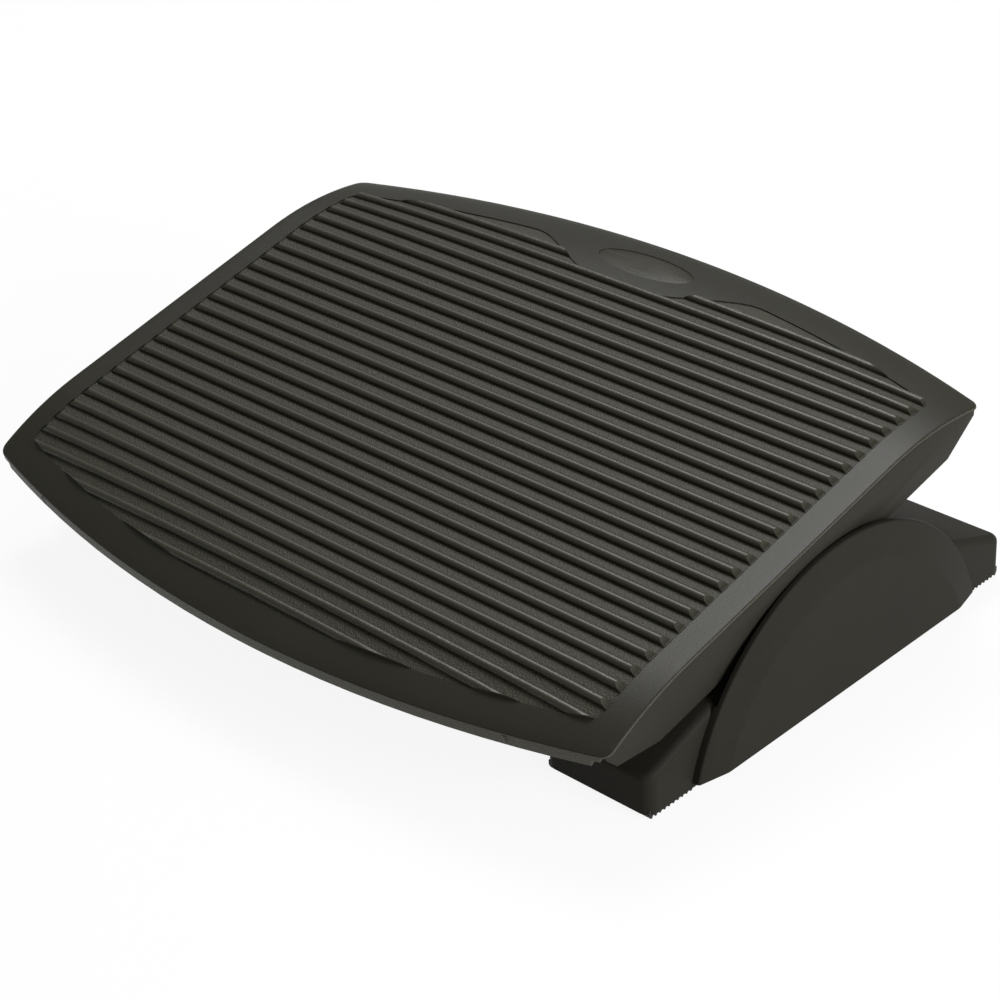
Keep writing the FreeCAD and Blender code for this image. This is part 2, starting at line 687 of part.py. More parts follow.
def build_deck():
    """The moulded tread deck with its ribs, rims, badge seat, stiffeners and screw bosses."""
    surface = deck_form("deck_surface", "0")
    recess_floor = deck_form("recess_floor", negative("Sizes.recess_depth"))
    badge_floor = deck_form("badge_floor", negative("Sizes.badge_seat_depth"))
    badge_top = deck_form("badge_top", negative("Sizes.badge_sunk"))
    underside = deck_form("underside", PLATE_UNDERSIDE)
    rim_bottom = deck_form("rim_bottom", negative("Sizes.rim_depth"))
    rebate_ceiling = deck_form("rebate_ceiling", negative("Sizes.side_edge"))

    outline, pad = deck_outline("outline", "0", "-40", "10")
    round_edges(outline, pad, "Sizes.deck_corner_radius", upright)
    blank = combine("Cut", "deck_blank", common("deck_block", outline, surface), rim_bottom)
    doc.recompute()
    outer = doc.addObject("Part::Fillet", "deck_rounded")
    outer.Base = blank
    lip = number("Sizes.lip_radius")
    outer.Edges = [(i + 1, lip, lip) for i, edge in enumerate(blank.Shape.Edges) if on_lip(edge)]

    inside, inside_pad = deck_outline("inside", "Sizes.rim_wall", "-40", "10")
    widened = fuse("inside_widened", inside, side_strips("side_openings", "Sizes.rim_end_inset"))
    cavity = common("deck_cavity", widened, underside)
    rebates = common("side_rebates", side_strips("rebate_strips", "Sizes.rebate_width"), rebate_ceiling)
    shell = combine("Cut", "deck_shell", outer, fuse("deck_space", cavity, rebates))

    recess = recess_prism()
    sunk = combine("Cut", "deck_recessed", shell, combine("Cut", "recess_space", recess, recess_floor))
    seat = combine("Cut", "badge_seat_space", oval_prism("badge_seat", "0"), badge_floor)
    seated = combine("Cut", "deck_with_seat", sunk, seat)

    ribs = common("tread_ribs_trimmed", tread_ribs(), recess)
    bosses = []
    holes = []
    for side, along in rail_screw_places():
        across = "(%d * %s)" % (side, SCREW_LINE)
        height = minus("Sizes.flange_top", "Sizes.badge_seat_depth")
        bosses.append(cylinder("rail_boss", "Sizes.boss_radius", height, "Z", (across, along, FLANGE_TOP)))
        pilot = plus("Sizes.screw_radius", "Sizes.screw_fit")
        depth = plus("Sizes.screw_bite", "Sizes.screw_end_gap")
        holes.append(cylinder("rail_pilot", pilot, depth, "Z", (across, along, FLANGE_TOP)))
    lattice = deck_stiffeners(badge_floor)
    solid = fuse("deck_fused", seated, ribs, lattice, *bosses)
    deck = combine("Cut", "platform_top", solid, fuse("rail_pilots", *holes))
    keep("platform_top", set_tilted(deck))

    inlay_prism = oval_prism("badge_inlay_prism", "Sizes.badge_clearance")
    inlay = combine("Cut", "badge_inlay", common("badge_block", inlay_prism, badge_top), badge_floor)
    keep("badge_inlay", set_tilted(inlay))


def side_strips(name, width):
    """Upright blocks along both sides of the deck, past its ends, for cuts where the rails stand."""
    inner = minus(DECK_SIDE, width)
    outer = plus(DECK_SIDE, "2")
    front = negative("Sizes.front_edge")
    rear = "Sizes.rear_edge"
    right = block(name + "_right", (inner, front, "-40"), (outer, rear, "10"))
    left = block(name + "_left", (negative(outer), front, "-40"), (negative(inner), rear, "10"))
    return fuse(name, right, left)


def on_lip(edge):
    """Does an edge of the deck's blank lie along its upper outline?"""
    if upright(edge):
        return False
    point = edge.valueAt((edge.FirstParameter + edge.LastParameter) / 2)
    return point.z > -roll_drop(point.x, point.y) - 0.5


# Side rails

def build_rails():
    """The rails: a leaning face with pointed ends, an inner flange, small webs and a pivot lug."""
    body = body_named("rail_section")
    section = sketch_on(body, "rail_section_sketch", "XZ_Plane", level="-200")
    slope = "(Sizes.rail_lean / (Sizes.rail_bottom + %s))" % RAIL_UPPER_EDGE
    top = "8"
    low = negative(plus("Sizes.rail_bottom", "5"))

    def face_at(level, inset="0"):
        """The rail's outer face at a level, moved inwards by an inset."""
        return "(%s + (%s - %s) * %s - %s)" % (RAIL_TOP, level, RAIL_UPPER_EDGE, slope, inset)

    flange_edge = minus(DECK_SIDE, "Sizes.flange_reach")
    wall = "Sizes.rail_wall"
    draw_loop(
        section,
        [
            (face_at(low), low),
            (face_at(top), top),
            (face_at(top, wall), top),
            (face_at(FLANGE_TOP, wall), FLANGE_TOP),
            (flange_edge, FLANGE_TOP),
            (flange_edge, FLANGE_UNDERSIDE),
            (face_at(FLANGE_UNDERSIDE, wall), FLANGE_UNDERSIDE),
            (face_at(low, wall), low),
        ],
    )
    extrude(body, "Pad", section, "400")

    side_view = body_named("rail_side_view")
    profile = sketch_on(side_view, "rail_side_sketch", "YZ_Plane", level="150")
    rear_tip = "Sizes.rail_rear_tip"
    bottom = negative("Sizes.rail_bottom")
    draw_loop(
        profile,
        [
            (negative("Sizes.rail_front_end"), top),
            (negative("Sizes.rail_front_end"), negative("Sizes.rail_front_end_level")),
            (negative("Sizes.rail_front_tip"), negative("Sizes.rail_front_tip_level")),
            (negative("Sizes.rail_front_bend"), bottom),
            ("Sizes.rail_rear_bend", bottom),
            (rear_tip, negative("Sizes.rail_rear_tip_level")),
            (rear_tip, top),
        ],
    )
    extrude(side_view, "Pad", profile, "100")

    below_deck = deck_form("rail_ceiling", RAIL_UPPER_EDGE)
    rail_block = common("rail_block", body, side_view, below_deck)
    inner_ceiling = deck_form("rail_inner_ceiling", negative(plus("Sizes.deck_wall", "Sizes.rail_clearance")))
    limit = minus(DECK_SIDE, minus("Sizes.rebate_width", "Sizes.rebate_clearance"))
    front, rear = negative("Sizes.front_edge"), "Sizes.rear_edge"
    inboard = block("inboard_block", ("0", front, "-40"), (limit, rear, "10"))
    skin = combine("Cut", "rail_skin", rail_block, combine("Cut", "deck_room", inboard, inner_ceiling))
    doc.recompute()
    softened = doc.addObject("Part::Fillet", "rail_softened")
    softened.Base = skin
    soft = number("Sizes.rail_edge_radius")
    level, face = number(RAIL_UPPER_EDGE), number(RAIL_TOP)
    edges = enumerate(skin.Shape.Edges)
    softened.Edges = [(i + 1, soft, soft) for i, edge in edges if on_rail_edge(edge, level, face)]

    lug_place = (LUG_INNER, "Sizes.pivot_setback", PIVOT_LEVEL)
    lug = cylinder("rail_lug", "Sizes.lug_radius", "Sizes.lug_length", "X", lug_place)
    webs = rail_webs(face_at)
    solid = fuse("rail_fused", softened, lug, *webs)
    bore = plus("Sizes.pin_radius", "Sizes.running_clearance", "Sizes.bush_wall")
    bore_place = (minus(LUG_INNER, "1"), "Sizes.pivot_setback", PIVOT_LEVEL)
    cuts = [cylinder("rail_bore", bore, plus("Sizes.lug_length", "9"), "X", bore_place)]
    spot_place = (LUG_OUTER, "Sizes.pivot_setback", PIVOT_LEVEL)
    cuts.append(cylinder("rail_spot_face", "Sizes.spot_face_radius", "10", "X", spot_place))
    through = plus("Sizes.screw_radius", "Sizes.screw_clearance")
    for side, along in rail_screw_places():
        if side > 0:
            place = (SCREW_LINE, along, minus(FLANGE_UNDERSIDE, "1"))
            cuts.append(cylinder("rail_screw_hole", through, plus("Sizes.flange_thickness", "2"), "Z", place))
    rail = combine("Cut", "side_rail_right", solid, fuse("rail_cuts", *cuts))
    keep_pair("side_rail", set_tilted(rail))

    bush_section = body_named("pivot_bush_right")
    sketch = sketch_on(bush_section, "bush_sketch", "XZ_Plane", up=PIVOT_LEVEL)
    inner = plus("Sizes.pin_radius", "Sizes.running_clearance")
    flange_face = minus(LUG_INNER, "Sizes.bush_flange_thickness")
    draw_loop(
        sketch,
        [
            (flange_face, inner),
            (LUG_OUTER, inner),
            (LUG_OUTER, bore),
            (LUG_INNER, bore),
            (LUG_INNER, "Sizes.bush_flange_radius"),
            (flange_face, "Sizes.bush_flange_radius"),
        ],
    )
    bind(sketch, AttachmentOffset_of_Base_of_z=negative("Sizes.pivot_setback"))
    turn(bush_section, "Revolution", sketch, "H_Axis")
    keep_pair("pivot_bush", set_tilted(bush_section))


def on_rail_edge(edge, level, face):
    """Does an edge of the rail's skin lie along the upper edge of its outer face?"""
    if upright(edge) or edge.Length < 10:
        return False
    point = edge.valueAt((edge.FirstParameter + edge.LastParameter) / 2)
    surface = level - roll_drop(point.x, point.y)
    return abs(point.z - surface) < 0.5 and point.x > face - 1


def rail_webs(face_at):
    """Small upright webs between the rail's face and its flange, clear of the lug."""
    webs = []
    half = "(Sizes.stiffener_wall / 2)"
    inner = minus(DECK_SIDE, "Sizes.flange_reach", negative("Sizes.boss_radius"), "-10")
    level = negative("Sizes.rail_front_tip_level")
    for step in (-3, -2, -1, 2, 3):
        middle = "(%d * Sizes.rail_web_pitch)" % step
        low = (inner, minus(middle, half), level)
        high = (face_at(level, "(Sizes.rail_wall / 2)"), plus(middle, half), FLANGE_UNDERSIDE)
        webs.append(block("rail_web", low, high))
    return webs


def screw(name, head_place, axis, direction, grip):
    """A pan-head screw: its head starts at a place, and its shank passes a grip and then bites."""
    length = plus(grip, "Sizes.screw_bite")
    x, y, z = head_place
    step = "(%d * Sizes.screw_head_height)" % direction
    stretch = "(%d * %s)" % (direction, length)
    if direction > 0:
        head_start = head_place
        shank_start = (plus(x, step), y, z) if axis == "X" else (x, y, plus(z, step))
    else:
        head_start = (plus(x, step), y, z) if axis == "X" else (x, y, plus(z, step))
        shank_start = (plus(x, step, stretch), y, z) if axis == "X" else (x, y, plus(z, step, stretch))
    head = cylinder(name + "_head", "Sizes.screw_head_radius", "Sizes.screw_head_height", axis, head_start)
    shank = cylinder(name + "_shank", "Sizes.screw_radius", length, axis, shank_start)
    return fuse(name, head, shank)


def build_rail_screws():
    """Six screws that hold the rails up against the deck's bosses."""
    screws = []
    head_level = minus(FLANGE_UNDERSIDE, "Sizes.screw_head_height")
    for side, along in rail_screw_places():
        place = ("(%d * %s)" % (side, SCREW_LINE), along, head_level)
        screws.append(screw("rail_screw", place, "Z", 1, "Sizes.flange_thickness"))
    group = doc.addObject("Part::Compound", "rail_screws")
    group.Links = screws
    keep("rail_screws", set_tilted(group))


# Floor bearers

def bearer_profile(sketch, inset_bottom, end_inset, top_inset):
    """A bearer seen from the side: upright ends, a slope above each, and a level top."""
    end = minus("Sizes.bearer_half_length", end_inset)
    crest = "Sizes.bearer_crest_half_length"
    nose = minus("Sizes.nose_height", top_inset)
    top = minus("Sizes.bearer_crest", top_inset)
    bottom = plus("Sizes.foot_lift", inset_bottom)
    draw_loop(
        sketch,
        [
            (negative(end), bottom),
            (end, bottom),
            (end, nose),
            (crest, top),
            (negative(crest), top),
            (negative(end), nose),
        ],
    )


def build_bearers():
    """The hollow moulded floor bearers with webs, tube sockets and the cheek that carries the pin."""
    body = body_named("bearer_shell")
    outside = sketch_on(body, "bearer_outside", "YZ_Plane", level=BEARER_INNER)
    bearer_profile(outside, "0", "0", "0")
    pad = extrude(body, "Pad", outside, "Sizes.bearer_width")
    nose = number("Sizes.nose_height")
    crest = number("Sizes.bearer_crest")
    end = number("Sizes.bearer_half_length")

    softened = round_edges(
        body,
        pad,
        "Sizes.crest_radius",
        lambda edge: span(edge)[0] > 10 and abs(edge.CenterOfMass.z - crest) < 0.1,
    )
    softened = round_edges(
        body,
        softened,
        "Sizes.bearer_corner_radius",
        lambda edge: upright(edge) and abs(edge.CenterOfMass.y) > end - 1,
    )
    round_edges(
        body,
        softened,
        "Sizes.bearer_edge_radius",
        lambda edge: span(edge)[0] > 10 and abs(edge.CenterOfMass.z - nose) < 0.1,
    )

    hollow = sketch_on(body, "bearer_hollow", "YZ_Plane", level=plus(BEARER_INNER, "Sizes.bearer_wall"))
    bearer_profile(hollow, "Sizes.floor_thickness", "Sizes.bearer_end_wall", "Sizes.bearer_wall")
    width = minus("Sizes.bearer_width", "2 * Sizes.bearer_wall")
    cut_checked(body, extrude(body, "Pocket", hollow, width))
    mouth = sketch_on(body, "bearer_mouth", "YZ_Plane", level=plus(BEARER_INNER, "Sizes.bearer_wall"))
    reach = minus("Sizes.bearer_half_length", "Sizes.floor_length")
    lid = plus("Sizes.foot_lift", "Sizes.floor_thickness", "1")
    draw_loop(mouth, [(negative(reach), "0"), (reach, "0"), (reach, lid), (negative(reach), lid)])
    cut_checked(body, extrude(body, "Pocket", mouth, width))

    seats = sketch_on(body, "foot_seats", "XY_Plane", level="0")
    for side in (-1, 1):
        outer_end = "(%d * (Sizes.bearer_half_length - Sizes.foot_margin))" % side
        inner_end = "(%d * %s)" % (side, foot_inner_end())
        left = plus(BEARER_INNER, "Sizes.foot_margin")
        right = minus(BEARER_FACE, "Sizes.foot_margin")
        draw_loop(seats, [(left, outer_end), (right, outer_end), (right, inner_end), (left, inner_end)])
    depth = plus("Sizes.foot_lift", "Sizes.foot_pad_depth")
    cut_checked(body, extrude(body, "Pocket", seats, depth))

    webs = bearer_webs()
    sockets = []
    bores = []
    for side in (-1, 1):
        along = "(%d * Sizes.tube_setout)" % side
        outer = plus("Sizes.tube_radius", "Sizes.tube_fit", "Sizes.socket_wall")
        place = (BEARER_INNER, along, "Sizes.tube_height")
        length = plus("Sizes.socket_depth", "Sizes.socket_wall")
        sockets.append(cylinder("tube_socket", outer, length, "X", place))
        bore = plus("Sizes.tube_radius", "Sizes.tube_fit")
        mouth_place = (minus(BEARER_INNER, "1"), along, "Sizes.tube_height")
        bores.append(cylinder("tube_bore", bore, plus("Sizes.socket_depth", "1"), "X", mouth_place))
        through = plus("Sizes.screw_radius", "Sizes.screw_clearance")
        screw_place = (plus(BEARER_INNER, "Sizes.tube_screw_inset"), along, "0")
        bores.append(cylinder("tube_screw_hole", through, "Sizes.tube_height", "Z", screw_place))
        access = plus("Sizes.screw_head_radius", "Sizes.screw_clearance")
        room = minus("Sizes.tube_height", outer)
        bores.append(cylinder("tube_screw_access", access, room, "Z", screw_place))
        hole_place = (minus(BEARER_FACE, "Sizes.bearer_wall", "1"), cover_screw_along(side))
        hole_place = hole_place + ("Sizes.cover_screw_height",)
        bores.append(cylinder("cover_screw_hole", through, plus("Sizes.bearer_wall", "2"), "X", hole_place))
    pin_hole = plus("Sizes.pin_radius", "Sizes.running_clearance")
    pin_place = (minus(CHEEK_INNER, "1"), "0", "Sizes.pivot_height")
    bores.append(cylinder("cheek_bore", pin_hole, plus("Sizes.cheek_thickness", "2"), "X", pin_place))
    solid = fuse("bearer_fused", body, bearer_cheek(), *(webs + sockets))
    bearer = combine("Cut", "base_bearer_right", solid, fuse("bearer_bores", *bores))
    keep_pair("base_bearer", set_on_base(bearer))


def foot_inner_end():
    """The inner end of a foot's seat, as far from the bearer's middle as the teeth leave."""
    length = plus("Sizes.tooth_count * Sizes.tooth_pitch", "2 * Sizes.foot_clearance")
    return minus("Sizes.bearer_half_length", "Sizes.foot_margin", length)


def cover_screw_along(side):
    return "(%d * Sizes.cover_screw_setout)" % side


def bearer_webs():
    """Webs that divide the bearer's hollow into cells."""
    half = "(Sizes.web_thickness / 2)"
    low = plus("Sizes.foot_lift", "Sizes.web_lift")
    high = minus("Sizes.bearer_crest", "Sizes.bearer_wall / 2")
    left = plus(BEARER_INNER, "Sizes.bearer_wall / 2")
    right = minus(BEARER_FACE, "Sizes.bearer_wall / 2")
    middle = plus(BEARER_INNER, "Sizes.bearer_width / 2")
    crest = "Sizes.bearer_crest_half_length"
    corners = (minus(middle, half), negative(crest), low), (plus(middle, half), crest, high)
    long_web = block("long_web", *corners)
    end_web = body_named("end_web")
    outline = sketch_on(end_web, "end_web_sketch", "YZ_Plane", level=minus(middle, half))
    bearer_profile(outline, "Sizes.floor_thickness / 2 + 1", "Sizes.bearer_wall", "Sizes.bearer_wall / 2")
    extrude(end_web, "Pad", outline, "Sizes.web_thickness")
    webs = [long_web, end_web]
    for step in (-2, -1, 1, 2):
        along = "((%d - %s) * Sizes.web_pitch)" % (step, 0.5 * (1 if step > 0 else -1))
        corners = (left, minus(along, half), low), (right, plus(along, half), high)
        webs.append(block("cross_web", *corners))
    return webs


def bearer_cheek():
    """The upright cheek: a foot on the bearer's top that narrows to a round eye for the pin."""
    body = body_named("bearer_cheek")
    sketch = sketch_on(body, "cheek_sketch", "YZ_Plane", level=CHEEK_INNER)
    foot = "Sizes.cheek_half_foot"
    root = minus("Sizes.bearer_crest", "Sizes.bearer_wall / 2")
    radius = "Sizes.cheek_radius"
    eye = "Sizes.pivot_height"
    rise = minus(eye, root)
    lean = "(acos(%s / sqrt(%s^2 + %s^2)) - atan(%s / %s))" % (radius, foot, rise, rise, foot)
    touch = "(%s * cos(%s))" % (radius, lean)
    touch_level = "(%s + %s * sin(%s))" % (eye, radius, lean)
    corners = [(negative(foot), root), (foot, root), (touch, touch_level), (negative(touch), touch_level)]
    draw_loop(sketch, corners)
    extrude(body, "Pad", sketch, "Sizes.cheek_thickness")
    crown = sketch_on(body, "cheek_eye", "YZ_Plane", level=CHEEK_INNER)
    draw_circle(crown, "0", eye, radius)
    extrude(body, "Pad", crown, "Sizes.cheek_thickness")
    return body


# Side covers

def build_covers():
    """The half-round side covers, bevelled all round, hollow behind and bossed for pin and screws."""
    body = body_named("side_cover_right")
    section = sketch_on(body, "cover_section", "XZ_Plane", up=negative("Sizes.cover_centre_drop"))
    flat = minus("Sizes.cover_radius", "Sizes.cover_bevel_width")
    slope = "atan(Sizes.cover_dome / Sizes.cover_bevel_width)"
    blend = "(Sizes.cover_blend_radius * tan(%s / 2))" % slope
    corner = "(Sizes.cover_edge_radius * tan((90deg - %s) / 2))" % slope
    draw_loop(
        section,
        [
            (BEARER_FACE, "0"),
            (COVER_FACE, "0"),
            (COVER_FACE, negative(minus(flat, blend)), "Sizes.cover_blend_radius", 1),
            (
                "(%s - %s * sin(%s))" % (COVER_FACE, blend, slope),
                "(-1 * %s - %s * cos(%s))" % (flat, blend, slope),
            ),
            (
                "(%s + %s * sin(%s))" % (COVER_RIM, corner, slope),
                "(%s * cos(%s) - Sizes.cover_radius)" % (corner, slope),
                "Sizes.cover_edge_radius",
                1,
            ),
            (minus(COVER_RIM, corner), negative("Sizes.cover_radius")),
            (BEARER_FACE, negative("Sizes.cover_radius")),
        ],
    )
    turn(body, "Revolution", section, "H_Axis")
    chord = sketch_on(body, "cover_chord", "YZ_Plane", level=minus(BEARER_FACE, "1"))
    wide = plus("Sizes.cover_radius", "5")
    deep = negative(plus("Sizes.cover_radius", "Sizes.cover_centre_drop", "5"))
    low = "Sizes.cover_bottom"
    draw_loop(chord, [(negative(wide), deep), (wide, deep), (wide, low), (negative(wide), low)])
    cut_checked(body, extrude(body, "Pocket", chord, "20"))

    relief = sketch_on(body, "rail_relief", "YZ_Plane", level=minus(BEARER_FACE, "1"))
    high = plus("Sizes.cover_radius", "5")
    step = "Sizes.bearer_crest"
    draw_loop(relief, [(negative(wide), step), (wide, step), (wide, high), (negative(wide), high)])
    cut_checked(body, extrude(body, "Pocket", relief, plus(minus(COVER_BACK, BEARER_FACE), "1")))

    hollow = sketch_on(body, "cover_hollow", "YZ_Plane", level=minus(BEARER_FACE, "1"))
    inner = minus(flat, "Sizes.cover_edge_radius")
    floor = plus(low, "Sizes.cover_wall")
    half = "sqrt(%s^2 - (%s + Sizes.cover_centre_drop)^2)" % (inner, floor)
    crown = minus(inner, "Sizes.cover_centre_drop")
    draw_loop(
        hollow,
        [
            (negative("(%s)" % half), floor),
            ("(%s)" % half, floor, inner, -1),
            ("0", crown, inner, -1),
        ],
    )
    depth = plus(minus(COVER_FACE, BEARER_FACE, "Sizes.cover_wall"), "1")
    cut_checked(body, extrude(body, "Pocket", hollow, depth))

    bosses = sketch_on(body, "cover_bosses", "YZ_Plane", level=BEARER_FACE)
    for side in (-1, 1):
        draw_circle(bosses, cover_screw_along(side), "Sizes.cover_screw_height", "Sizes.cover_boss_radius")
    extrude(body, "Pad", bosses, minus(COVER_FACE, BEARER_FACE, "Sizes.cover_wall / 2"))
    eye = sketch_on(body, "cover_eye", "YZ_Plane", level=COVER_BACK)
    draw_circle(eye, "0", "Sizes.pivot_height", "Sizes.cover_eye_radius")
    extrude(body, "Pad", eye, minus(COVER_FACE, COVER_BACK, "0.95 * Sizes.cover_wall"))
    doc.recompute()

    pilots = sketch_on(body, "cover_pilots", "YZ_Plane", level=minus(BEARER_FACE, "1"))
    for side in (-1, 1):
        pilot = plus("Sizes.screw_radius", "Sizes.screw_fit")
        draw_circle(pilots, cover_screw_along(side), "Sizes.cover_screw_height", pilot)
    cut_checked(body, extrude(body, "Pocket", pilots, plus("Sizes.screw_bite", "Sizes.screw_end_gap", "1")))
    bearing = sketch_on(body, "pin_bearing", "YZ_Plane", level=minus(COVER_BACK, "1"))
    draw_circle(bearing, "0", "Sizes.pivot_height", plus("Sizes.pin_radius", "Sizes.running_clearance"))
    reach = plus(minus(HEAD_OUTER, COVER_BACK), "Sizes.pin_stub", "Sizes.running_gap", "1")
    cut_checked(body, extrude(body, "Pocket", bearing, reach))
    keep_pair("side_cover", set_on_base(body))


# Pivot hardware and base fasteners

def ring_on_pin(label, inner, outer, start, end, angle=360):
    """A ring round the pivot axis between two places along X."""
    body = body_named(label)
    sketch = sketch_on(body, label + "_sketch", "XZ_Plane", up="Sizes.pivot_height")
    draw_loop(sketch, [(start, inner), (end, inner), (end, outer), (start, outer)])
    turn(body, "Revolution", sketch, "H_Axis", angle)
    return body


def build_pivots():
    """The pins with their collars, the friction and spring washers, and the lock nuts."""
    pin = body_named("pivot_pin_right")
    sketch = sketch_on(pin, "pin_sketch", "XZ_Plane", up="Sizes.pivot_height")
    tail = minus(CHEEK_INNER, "Sizes.pin_tail")
    radius = "Sizes.pin_radius"
    collar = "Sizes.pin_head_radius"
    stub = plus(HEAD_OUTER, "Sizes.pin_stub")
    chamfer = "0.6"
    draw_loop(
        sketch,
        [
            (tail, "0"),
            (stub, "0"),
            (stub, minus(radius, chamfer)),
            (minus(stub, chamfer), radius),
            (HEAD_OUTER, radius),
            (HEAD_OUTER, collar),
            (HEAD_INNER, collar),
            (HEAD_INNER, radius),
            (plus(tail, chamfer), radius),
            (tail, minus(radius, chamfer)),
        ],
    )
    turn(pin, "Revolution", sketch, "H_Axis")
    keep_pair("pivot_pin", set_on_base(pin))

    bore = plus(radius, "Sizes.running_clearance")
    friction = ring_on_pin(
        "friction_washer_right", bore, "Sizes.friction_washer_radius", CHEEK_OUTER, WASHER_OUTER
    )
    keep_pair("friction_washer", set_on_base(friction))
    spring = ring_on_pin(
        "spring_washer_right", bore, "Sizes.spring_washer_radius", NUT_OUTER, CHEEK_INNER, 345
    )
    keep_pair("spring_washer", set_on_base(spring))

    nut = body_named("lock_nut_right")
    hexagon = sketch_on(nut, "nut_sketch", "YZ_Plane", level=minus(NUT_OUTER, "Sizes.nut_thickness"))
    corners = []
    for step in range(6):
        reach = "(Sizes.nut_across_flats / sqrt(3))"
        along = "(%s * cos(%d))" % (reach, 60 * step)
        up = "(Sizes.pivot_height + %s * sin(%d))" % (reach, 60 * step)
        corners.append((along, up))
    draw_loop(hexagon, corners)
    draw_circle(hexagon, "0", "Sizes.pivot_height", bore)
    extrude(nut, "Pad", hexagon, "Sizes.nut_thickness")
    keep_pair("lock_nut", set_on_base(nut))


def build_cross_tubes():
    """Two steel tubes that plug into the bearers and hold them apart."""
    inner_wall = minus("Sizes.tube_radius", "Sizes.tube_wall")
    end = plus(BEARER_INNER, minus("Sizes.socket_depth", "Sizes.screw_end_gap"))
    length = "(2 * %s)" % end
    for name, side in (("front", -1), ("rear", 1)):
        along = "(%d * Sizes.tube_setout)" % side
        place = (negative(end), along, "Sizes.tube_height")
        outer = cylinder("tube_outer", "Sizes.tube_radius", length, "X", place)
        cuts = [cylinder("tube_inner", inner_wall, length, "X", place)]
        for hand in (-1, 1):
            across = "(%d * %s)" % (hand, plus(BEARER_INNER, "Sizes.tube_screw_inset"))
            through = plus("Sizes.screw_radius", "Sizes.screw_fit")
            cuts.append(cylinder("tube_hole", through, "Sizes.tube_height", "Z", (across, along, "0")))
        tube = combine("Cut", "cross_tube_" + name, outer, fuse("tube_cuts", *cuts))
        keep("cross_tube_" + name, set_on_base(tube))


def build_base_screws():
    """Screws up through the sockets into the tubes, and screws out through the bearers into the covers."""
    tube_group = doc.addObject("Part::Compound", "tube_screws")
    cover_group = doc.addObject("Part::Compound", "cover_screws")
    tube_screws = []
    cover_screws = []
    socket = plus("Sizes.tube_radius", "Sizes.tube_fit", "Sizes.socket_wall")
    head_level = minus("Sizes.tube_height", socket, "Sizes.screw_head_height")
    for hand in (-1, 1):
        for side in (-1, 1):
            across = "(%d * %s)" % (hand, plus(BEARER_INNER, "Sizes.tube_screw_inset"))
            place = (across, "(%d * Sizes.tube_setout)" % side, head_level)
            tube_screws.append(screw("tube_screw", place, "Z", 1, "0"))
            inner = minus(BEARER_FACE, "Sizes.bearer_wall", "Sizes.screw_head_height")
            place = ("(%d * %s)" % (hand, inner), cover_screw_along(side), "Sizes.cover_screw_height")
            cover_screws.append(screw("cover_screw", place, "X", hand, "Sizes.bearer_wall"))
    tube_group.Links = tube_screws
    cover_group.Links = cover_screws
    keep("tube_screws", set_on_base(tube_group))
    keep("cover_screws", set_on_base(cover_group))


# Rubber feet

def build_feet():
    """Rubber feet pressed into the bearers' ends, toothed below across their whole width."""
    for end, side in (("front", -1), ("rear", 1)):
        body = body_named("foot_%s_right" % end)
        gap = plus("Sizes.foot_margin", "Sizes.foot_clearance")
        left = plus(BEARER_INNER, gap)
        right = minus(BEARER_FACE, gap)
        outer_end = minus("Sizes.bearer_half_length", gap)
        length = "(Sizes.tooth_count * Sizes.tooth_pitch)"
        far = "(%d * %s)" % (side, outer_end)
        near = "(%d * %s)" % (side, minus(outer_end, length))
        plate = sketch_on(body, "plate_%s" % end, "XY_Plane", level="Sizes.tooth_height")
        draw_loop(plate, [(left, far), (right, far), (right, near), (left, near)])
        thickness = minus(plus("Sizes.foot_lift", "Sizes.foot_pad_depth"), "Sizes.tooth_height")
        extrude(body, "Pad", plate, thickness)
        tooth = sketch_on(body, "tooth_%s" % end, "YZ_Plane", level=left)
        first = min(number(far), number(near))
        start = far if abs(number(far) - first) < 0.001 else near
        half_tip = "(Sizes.tooth_tip / 2)"
        middle = plus(start, "Sizes.tooth_pitch / 2")
        draw_loop(
            tooth,
            [
                (minus(middle, half_tip), "0"),
                (plus(middle, half_tip), "0"),
                (plus(start, "Sizes.tooth_pitch"), "Sizes.tooth_height"),
                (start, "Sizes.tooth_height"),
            ],
        )
        first_tooth = extrude(body, "Pad", tooth, minus(right, left))
        doc.recompute()
        row = body.newObject("PartDesign::LinearPattern", "teeth_%s" % end)
        row.Originals = [first_tooth]
        row.Direction = (origin_plane(body, "Y_Axis"), [""])
        bind(row, Length="(Sizes.tooth_count - 1) * Sizes.tooth_pitch", Occurrences="Sizes.tooth_count")
        body.Tip = row
        keep_pair("foot_" + end, set_on_base(body))


def check_document():
    """Stop if any object of the document failed, or if a kept piece has no sound solid."""
    for item in doc.Objects:
        if "Invalid" in item.State or "Error" in item.State:
            raise RuntimeError("%s (%s) failed: %s" % (item.Label, item.Name, item.State))
    for node, piece in parts.items():
        shape = piece.Shape
        if shape.isNull() or not shape.isValid() or not shape.Solids:
            raise RuntimeError(node + " has no valid solid")


def write_parts():
    os.makedirs("parts", exist_ok=True)
    for node, piece in sorted(parts.items()):
        piece.Shape.exportStep("parts/%s.step" % node)
        box = piece.Shape.BoundBox
        print(node, len(piece.Shape.Solids), round(piece.Shape.Volume), box)


build_deck()
build_rails()
build_rail_screws()
build_bearers()
build_covers()
build_pivots()
build_cross_tubes()
build_base_screws()
build_feet()
doc.recompute()
check_document()
write_parts()
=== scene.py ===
"""Looks of a tilting footrest for use under a desk: dark grained plastic, a ribbed tread and rubber feet."""

import json
import math

import bpy
from bpy.props import FloatProperty, FloatVectorProperty, PointerProperty
from mathutils import Matrix, Vector

